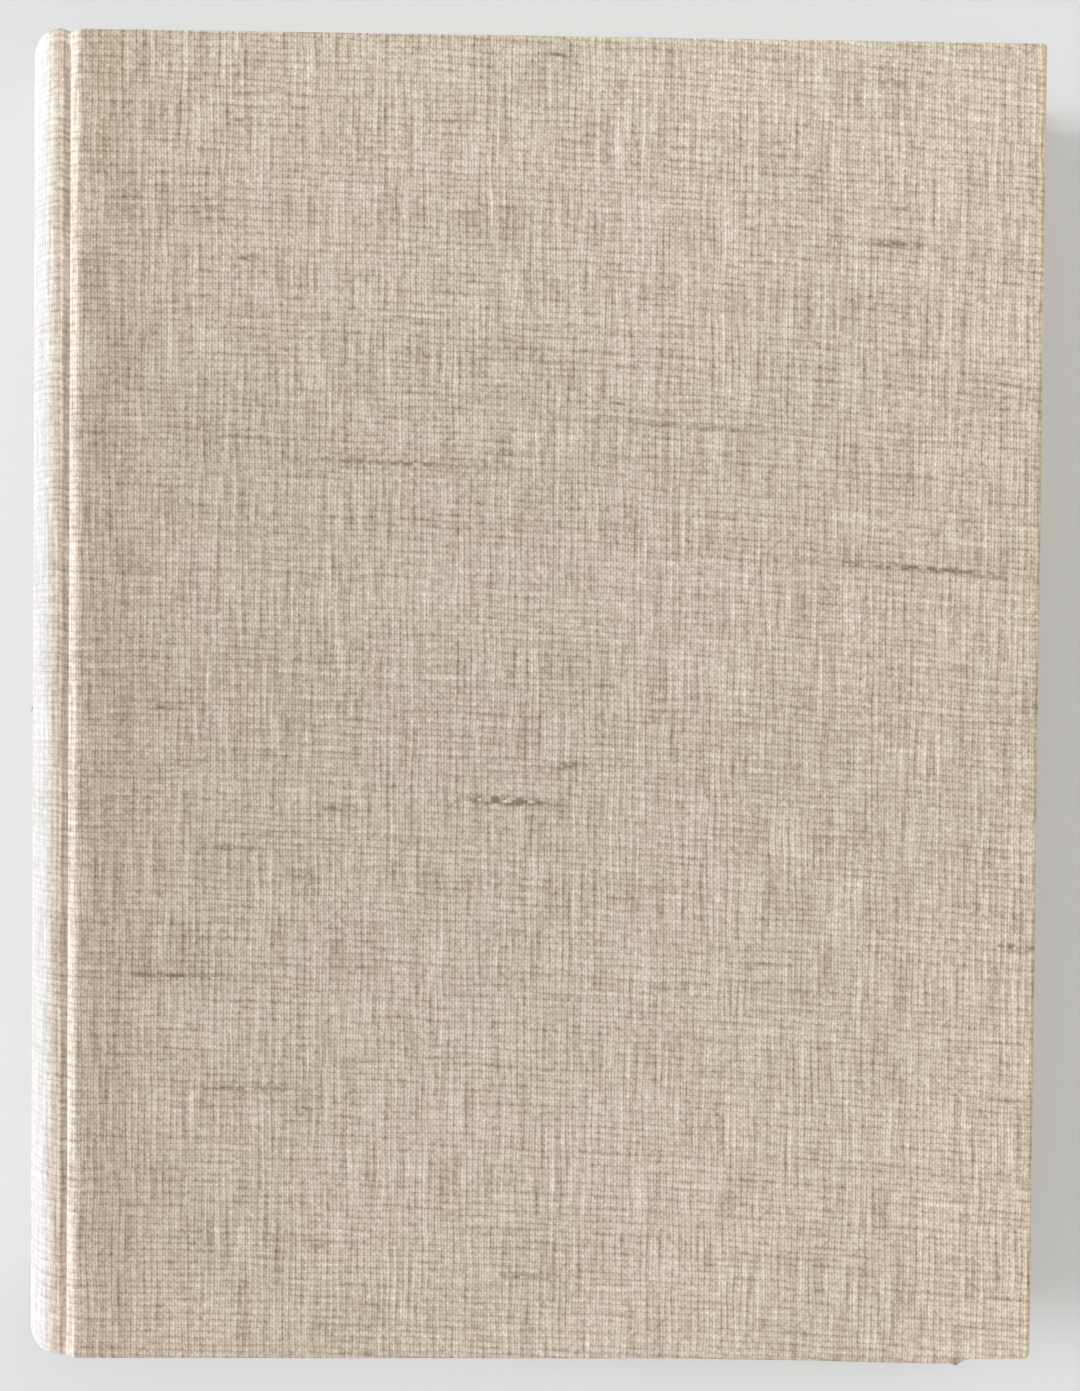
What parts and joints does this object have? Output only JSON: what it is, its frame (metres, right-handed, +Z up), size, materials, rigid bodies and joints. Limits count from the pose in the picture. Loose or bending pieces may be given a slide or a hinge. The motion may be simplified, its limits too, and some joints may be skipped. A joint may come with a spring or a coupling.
{
  "type": "hardback book",
  "caption": "Hardback book in plain natural linen, with a rounded spine, a groove beside each board, and covers that open.",
  "frame": {"origin": "under the middle of the closed book, on the surface that it lies on", "axes": "+X from the spine to the fore-edge, +Y from the tail to the head, +Z up through the front cover"},
  "size_m": [0.2218, 0.2858, 0.0294],
  "materials": {
    "leaves": "matt",
    "endpaper": "matt",
    "mull": "open weave",
    "kraft": "matt",
    "band": "woven bead",
    "card": "matt",
    "board": "matt",
    "linen": "plain weave"
  },
  "bodies": {
    "text_block": {"page_block": "leaves", "front_flyleaf": "endpaper", "back_flyleaf": "endpaper", "spine_mull": "mull", "spine_lining": "kraft", "head_band": "band", "tail_band": "band", "spine_inlay": "card", "spine_cloth": "linen"},
    "front_cover": {"front_board": "board", "front_cloth": "linen", "front_pastedown": "endpaper"},
    "back_cover": {"back_board": "board", "back_cloth": "linen", "back_pastedown": "endpaper"}
  },
  "joints": [
    {"name": "front_cover_hinge", "type": "hinge", "parent": "text_block", "child": "front_cover", "pos_m": [-0.10113, 0, 0.02887], "axis": [0, -1, 0], "range_deg": [0, 178]},
    {"name": "back_cover_hinge", "type": "hinge", "parent": "text_block", "child": "back_cover", "pos_m": [-0.10113, 0, 0.00053], "axis": [0, 1, 0], "range_deg": [0, 178]}
  ]
}
